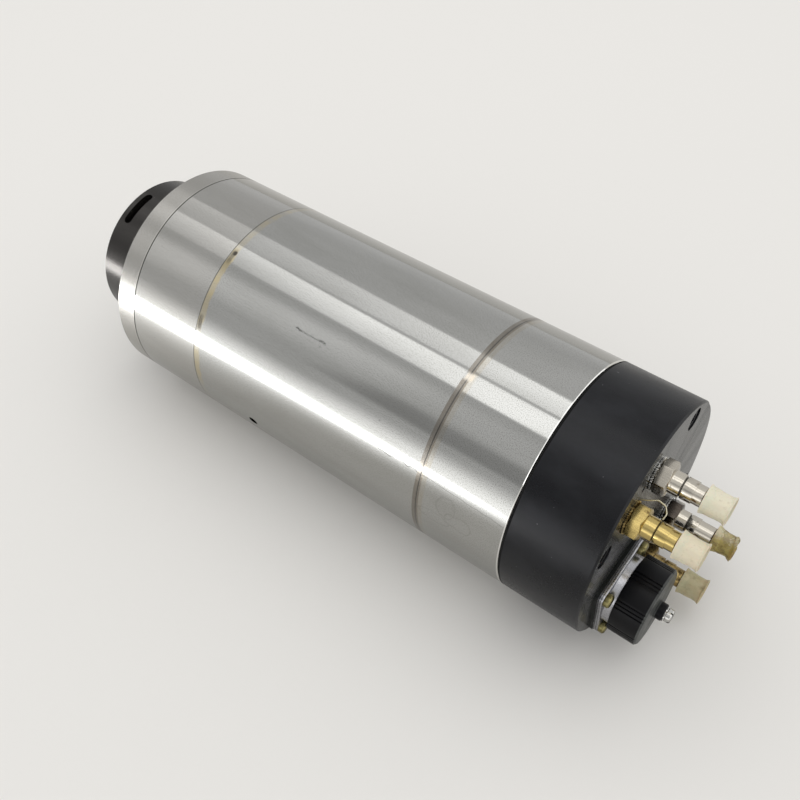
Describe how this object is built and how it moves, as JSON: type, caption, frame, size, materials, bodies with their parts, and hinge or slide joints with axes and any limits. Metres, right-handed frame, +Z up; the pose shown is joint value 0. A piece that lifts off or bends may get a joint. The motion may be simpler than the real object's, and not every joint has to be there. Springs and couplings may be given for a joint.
{
  "type": "motor spindle",
  "caption": "High-frequency motor spindle with a steel cylinder body, black nose ring and rear cover, capped hose fittings, a capped cable connector and an air-released collet.",
  "frame": {"origin": "on the spindle axis, in the plane of the steel front face, inside the collet's tool bore", "axes": "+X along the spindle axis from the nose to the connections, +Z up with the spindle lying down"},
  "size_m": [0.3015, 0.1, 0.1],
  "materials": {
    "ground_stainless": "ground and circumferentially polished",
    "black_oxide_steel": "black oxide, satin",
    "black_anodised": "black anodised, satin",
    "hardened_steel": "ground",
    "bearing_steel": "polished",
    "spring_steel": "oiled",
    "cage_resin": "resin and cloth laminate",
    "laminations": "stacked sheet",
    "copper": "enamelled copper",
    "machined_aluminium": "turned",
    "seal_rubber": "matt",
    "nickel_plate": "nickel plated, machined",
    "brass": "machined, tarnished",
    "cap_plastic": "moulded, dirty",
    "die_cast": "satin nickel over zinc",
    "insert_plastic": "moulded",
    "gold_pins": "gold plated",
    "dust_cap_black": "black anodised, satin",
    "zinc_steel": "bright zinc"
  },
  "bodies": {
    "housing": {"connector_gasket": "seal_rubber", "connector_insert": "insert_plastic", "connector_pins": "gold_pins", "connector_receptacle": "die_cast", "connector_screws": "brass", "coolant_in_fitting": "nickel_plate", "coolant_out_fitting": "brass", "cooling_sleeve": "machined_aluminium", "cylinder_head": "machined_aluminium", "cylinder_screws": "black_oxide_steel", "fitting_washers": "nickel_plate", "front_bearing_outer_rings": "bearing_steel", "front_cover": "ground_stainless", "front_cover_screws": "black_oxide_steel", "front_housing": "ground_stainless", "jacket_seals": "seal_rubber", "nose_ring": "black_oxide_steel", "nose_ring_screws": "black_oxide_steel", "outer_spacer": "hardened_steel", "preload_spring": "spring_steel", "rear_bearing_outer_ring": "bearing_steel", "rear_cover": "black_anodised", "rear_cover_screws": "black_oxide_steel", "rear_housing": "ground_stainless", "release_air_fitting": "brass", "release_cylinder": "machined_aluminium", "sealing_air_fitting": "nickel_plate", "stator_core": "laminations", "stator_jacket": "ground_stainless", "stator_windings": "copper", "transfer_pipes": "brass", "wire_hoop": "zinc_steel"},
    "rotor": {"shaft": "hardened_steel", "rotor_core": "laminations", "rotor_end_rings": "copper", "front_bearing_inner_rings": "bearing_steel", "inner_spacer": "hardened_steel", "front_locknut": "hardened_steel", "rear_bearing_inner_ring": "bearing_steel", "rear_locknut": "hardened_steel"},
    "front_ball_sets": {"front_bearing_balls": "bearing_steel", "front_bearing_cages": "cage_resin"},
    "rear_ball_set": {"rear_bearing_balls": "bearing_steel", "rear_bearing_cage": "cage_resin"},
    "drawbar": {"collet": "hardened_steel", "drawbar": "hardened_steel", "drawbar_head": "hardened_steel", "disc_springs": "spring_steel"},
    "release_piston": {"release_piston": "machined_aluminium", "piston_seal": "seal_rubber", "piston_return_springs": "spring_steel"},
    "cap_swivel": {"swivel_washer": "zinc_steel"},
    "dust_cap": {"dust_cap": "dust_cap_black", "dust_cap_gasket": "seal_rubber", "dust_cap_bush": "insert_plastic", "dust_cap_screw": "zinc_steel"},
    "sealing_air_cap": {"sealing_air_cap": "cap_plastic"},
    "release_air_cap": {"release_air_cap": "cap_plastic"},
    "coolant_in_cap": {"coolant_in_cap": "cap_plastic"},
    "coolant_out_cap": {"coolant_out_cap": "cap_plastic"}
  },
  "joints": [
    {"name": "spindle_spin", "type": "hinge", "parent": "housing", "child": "rotor", "pos_m": [0, 0, 0], "axis": [1, 0, 0], "continuous": true},
    {"name": "front_ball_orbit", "type": "hinge", "parent": "housing", "child": "front_ball_sets", "pos_m": [0, 0, 0], "axis": [1, 0, 0], "continuous": true},
    {"name": "rear_ball_orbit", "type": "hinge", "parent": "housing", "child": "rear_ball_set", "pos_m": [0.1815, 0, 0], "axis": [1, 0, 0], "continuous": true},
    {"name": "piston_stroke", "type": "slide", "parent": "housing", "child": "release_piston", "axis": [-1, 0, 0], "range_m": [0, 0.0045], "stiffness_N_per_m": 20000, "springref_m": -0.001, "deforming": ["piston_return_springs"]},
    {"name": "drawbar_release", "type": "slide", "parent": "rotor", "child": "drawbar", "axis": [-1, 0, 0], "range_m": [0, 0.0035], "stiffness_N_per_m": 200000, "springref_m": -0.005, "deforming": ["disc_springs"]},
    {"name": "cap_lift", "type": "slide", "parent": "housing", "child": "cap_swivel", "axis": [1, 0, 0], "range_m": [0, 0.006]},
    {"name": "cap_unscrew", "type": "hinge", "parent": "cap_swivel", "child": "dust_cap", "pos_m": [0.26, -0.01945, -0.02014], "axis": [1, 0, 0], "range_deg": [0, 1440]},
    {"name": "sealing_air_cap_pull", "type": "slide", "parent": "housing", "child": "sealing_air_cap", "axis": [1, 0, 0], "range_m": [0, 0.015]},
    {"name": "release_air_cap_pull", "type": "slide", "parent": "housing", "child": "release_air_cap", "axis": [1, 0, 0], "range_m": [0, 0.015]},
    {"name": "coolant_in_cap_pull", "type": "slide", "parent": "housing", "child": "coolant_in_cap", "axis": [1, 0, 0], "range_m": [0, 0.015]},
    {"name": "coolant_out_cap_pull", "type": "slide", "parent": "housing", "child": "coolant_out_cap", "axis": [1, 0, 0], "range_m": [0, 0.015]}
  ],
  "couplings": [
    {"joint": "front_ball_orbit", "follows": "spindle_spin", "ratio": 0.41959},
    {"joint": "rear_ball_orbit", "follows": "spindle_spin", "ratio": 0.41765},
    {"joint": "drawbar_release", "follows": "piston_stroke", "ratio": 0.77778},
    {"joint": "cap_lift", "follows": "cap_unscrew", "m_per_rad": 0.00023873}
  ]
}
